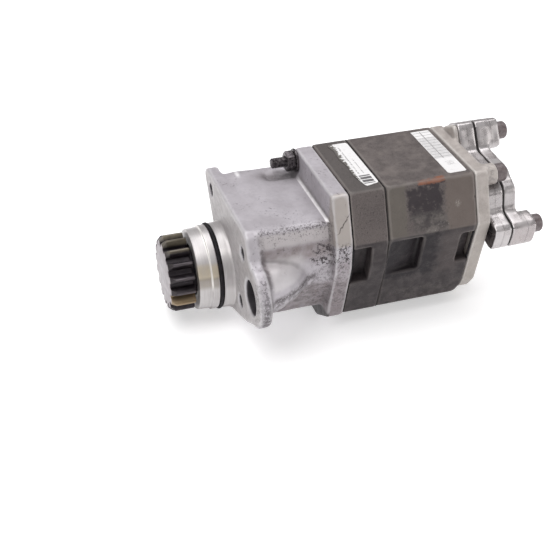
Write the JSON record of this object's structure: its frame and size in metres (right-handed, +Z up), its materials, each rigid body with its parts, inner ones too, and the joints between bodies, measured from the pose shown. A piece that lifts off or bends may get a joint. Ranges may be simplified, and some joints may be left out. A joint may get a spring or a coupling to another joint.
{
  "type": "hydraulic gear pump",
  "caption": "In-line tandem external gear pump with a toothed drive pinion, flanged alloy adapter, dark gear sections and an eared rear outlet port casting.",
  "frame": {"origin": "centre of the footprint of the bounding box, on the plane of the flat underside of the gear sections", "axes": "+X along the drive shaft from the drive pinion to the rear port castings, +Y to the far side, +Z up from the flat underside"},
  "size_m": [0.3396, 0.1794, 0.1574],
  "materials": {
    "cast_aluminium": "as cast, worn",
    "gear_body_iron": "dark, finely pitted",
    "cover_alloy": "matt",
    "port_alloy": "satin",
    "steel": "ground",
    "black_steel": "black oxide",
    "bolt_steel": "dull",
    "bronze": "machined",
    "seal_rubber": "matt",
    "gasket_sheet": "matt",
    "label_film": "satin"
  },
  "bodies": {
    "housing": {"adapter_housing": "cast_aluminium", "front_gear_body": "gear_body_iron", "rear_gear_body": "gear_body_iron", "rear_cover": "cover_alloy", "port_spacer": "port_alloy", "port_flange": "port_alloy", "port_gasket": "gasket_sheet", "bearing_block_front": "bronze", "bearing_block_centre": "bronze", "bearing_block_rear": "bronze", "front_bush": "bronze", "pilot_oring": "seal_rubber", "shaft_seal": "seal_rubber", "centre_gasket": "gasket_sheet", "front_joint_seal": "seal_rubber", "rear_joint_seal": "seal_rubber", "outlet_seal": "seal_rubber", "body_bolt_near_top": "bolt_steel", "body_bolt_far_bottom": "bolt_steel", "body_bolt_near_bottom": "bolt_steel", "port_bolt_upper": "bolt_steel", "port_bolt_lower": "bolt_steel", "pad_screw_upper": "black_steel", "pad_screw_lower": "black_steel", "tie_stud": "black_steel", "stud_nut": "black_steel", "stud_washer": "black_steel", "dowel_pin_1": "steel", "dowel_pin_2": "steel", "label_front": "label_film", "label_rear": "label_film"},
    "drive": {"drive_shaft": "steel", "coupling_pinion": "steel", "pinion_key": "steel", "gear_key_front": "steel", "gear_key_rear": "steel", "drive_gear_front": "steel", "drive_gear_rear": "steel"},
    "idler_front": {"idler_gear_front": "steel"},
    "idler_rear": {"idler_gear_rear": "steel"}
  },
  "joints": [
    {"name": "drive_spin", "type": "hinge", "parent": "housing", "child": "drive", "pos_m": [-0.1115, 0.02816, 0.048], "axis": [1, 0, 0], "continuous": true},
    {"name": "idler_front_spin", "type": "hinge", "parent": "housing", "child": "idler_front", "pos_m": [-0.0015, -0.00984, 0.089], "axis": [1, 0, 0], "continuous": true},
    {"name": "idler_rear_spin", "type": "hinge", "parent": "housing", "child": "idler_rear", "pos_m": [0.0585, -0.00984, 0.089], "axis": [1, 0, 0], "continuous": true}
  ],
  "couplings": [
    {"joint": "idler_front_spin", "follows": "drive_spin", "ratio": -1},
    {"joint": "idler_rear_spin", "follows": "drive_spin", "ratio": -1}
  ]
}
